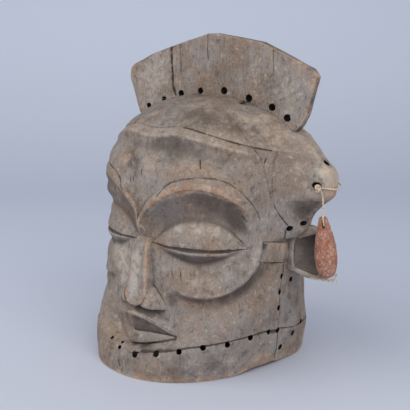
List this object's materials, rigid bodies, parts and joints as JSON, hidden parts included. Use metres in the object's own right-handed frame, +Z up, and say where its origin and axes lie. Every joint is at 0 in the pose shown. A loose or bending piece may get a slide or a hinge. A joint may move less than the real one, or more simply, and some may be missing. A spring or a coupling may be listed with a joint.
{
  "type": "kete helmet mask",
  "caption": "Carved wooden helmet mask: closed eyes, flat nose, flared rim with tie holes, side horns, ears and a flat board crest, with a fruit-stone pendant on a string at the wearer's left.",
  "frame": {"origin": "middle of the footprint, on the surface that the rim stands on", "axes": "+Z up through the crest; the face looks along -Y; +X is the wearer's left, the side with the pendant"},
  "size_m": [0.3471, 0.2503, 0.38],
  "materials": {
    "weathered_wood": "dry grey-brown carved hardwood, worn to orange-tan on the edges",
    "fruit_stone": "reddish brown, pitted and scaly fruit stone",
    "plant_string": "thin pale twisted string"
  },
  "bodies": {
    "root": {"helmet_mask": "weathered_wood", "fruit_pendant": "fruit_stone", "earring_string": "plant_string", "earring_tail": "plant_string"}
  },
  "joints": []
}
